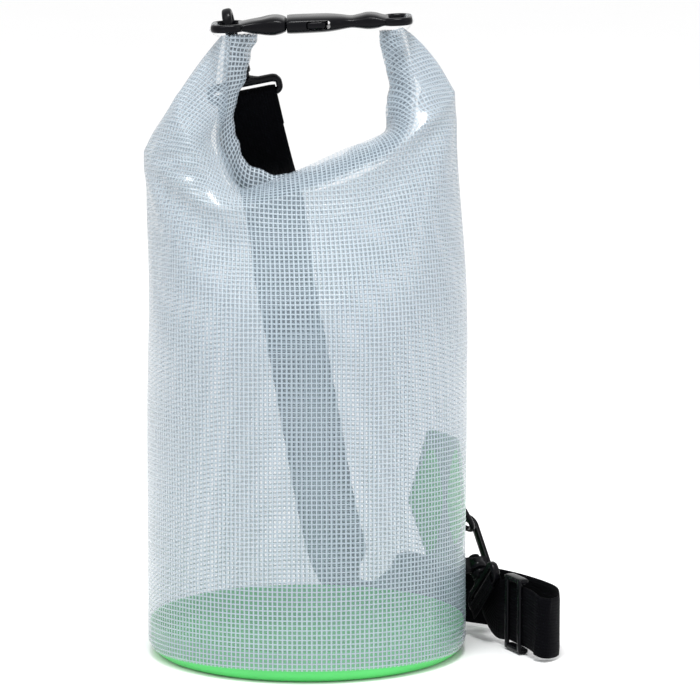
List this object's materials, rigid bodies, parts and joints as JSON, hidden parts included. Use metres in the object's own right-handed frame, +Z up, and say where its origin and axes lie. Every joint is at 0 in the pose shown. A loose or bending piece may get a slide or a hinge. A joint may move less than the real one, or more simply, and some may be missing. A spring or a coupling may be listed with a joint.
{
  "type": "roll-top dry bag",
  "caption": "Round roll-top dry bag with mesh-reinforced clear walls, welded base, buckled handle and clip-on shoulder strap.",
  "frame": {"origin": "centre of the underside of the base", "axes": "+Z up, +X along the buckle towards its female half, +Y towards the side where the shoulder strap hangs"},
  "size_m": [0.2599, 0.2419, 0.4039],
  "materials": {
    "scrim_laminate": "glossy clear film on a white scrim",
    "green_tarpaulin": "satin",
    "stiffener": "matte",
    "black_acetal": "moulded, semi-gloss",
    "black_webbing": "woven"
  },
  "bodies": {
    "bag": {"tube_body": "scrim_laminate", "base_dish": "green_tarpaulin", "rolled_mouth": "scrim_laminate", "mouth_stiffener": "stiffener", "end_loop_left": "scrim_laminate", "end_loop_right": "scrim_laminate", "buckle_male": "black_acetal", "top_swivel_pin": "black_acetal", "top_strap_base": "black_acetal", "bottom_swivel_pin": "black_acetal", "bottom_strap_base": "black_acetal", "shoulder_strap": "black_webbing", "strap_slider": "black_acetal", "d_ring_tab": "black_webbing", "patch": "green_tarpaulin"},
    "female_half": {"buckle_female": "black_acetal"},
    "front_prong": {"prong_front": "black_acetal"},
    "rear_prong": {"prong_rear": "black_acetal"},
    "upper_hook": {"top_hook": "black_acetal"},
    "upper_gate": {"top_gate": "black_acetal"},
    "lower_hook": {"bottom_hook": "black_acetal"},
    "lower_gate": {"bottom_gate": "black_acetal"},
    "patch_ring": {"d_ring": "black_acetal"}
  },
  "joints": [
    {"name": "buckle_release", "type": "slide", "parent": "bag", "child": "female_half", "axis": [0.9991, 0, 0.0419], "range_m": [0, 0.03], "deforming": ["prong_front", "prong_rear", "end_loop_right"]},
    {"name": "prong_front_flex", "type": "hinge", "parent": "bag", "child": "front_prong", "pos_m": [-0.01069, -0.0086, 0.39505], "axis": [-0.0419, 0, 0.9991], "range_deg": [0, 6], "stiffness_Nm_per_rad": 0.4},
    {"name": "prong_rear_flex", "type": "hinge", "parent": "bag", "child": "rear_prong", "pos_m": [-0.01069, 0.0086, 0.39505], "axis": [-0.0419, 0, 0.9991], "range_deg": [-6, 0], "stiffness_Nm_per_rad": 0.4},
    {"name": "upper_hook_swivel", "type": "hinge", "parent": "bag", "child": "upper_hook", "pos_m": [-0.04204, 0.02299, 0.36627], "axis": [-0.207, -0.2515, 0.9455], "range_deg": [-8, 8]},
    {"name": "upper_gate_swing", "type": "hinge", "parent": "upper_hook", "child": "upper_gate", "pos_m": [-0.04283, 0.01431, 0.36781], "axis": [0.9783, -0.0532, 0.2001], "range_deg": [-24, 0], "stiffness_Nm_per_rad": 0.05},
    {"name": "lower_hook_swivel", "type": "hinge", "parent": "bag", "child": "lower_hook", "pos_m": [0.10759, 0.03753, 0.04559], "axis": [-0.2693, 0.6185, 0.7382], "range_deg": [-8, 8]},
    {"name": "lower_gate_swing", "type": "hinge", "parent": "lower_hook", "child": "lower_gate", "pos_m": [0.09924, 0.03669, 0.04839], "axis": [0.2947, -0.6768, 0.6746], "range_deg": [-24, 0], "stiffness_Nm_per_rad": 0.05},
    {"name": "d_ring_swing", "type": "hinge", "parent": "bag", "child": "patch_ring", "pos_m": [0.09218, 0.0511, 0.082], "axis": [-0.4848, 0.8746, 0], "range_deg": [-4, 4]}
  ]
}
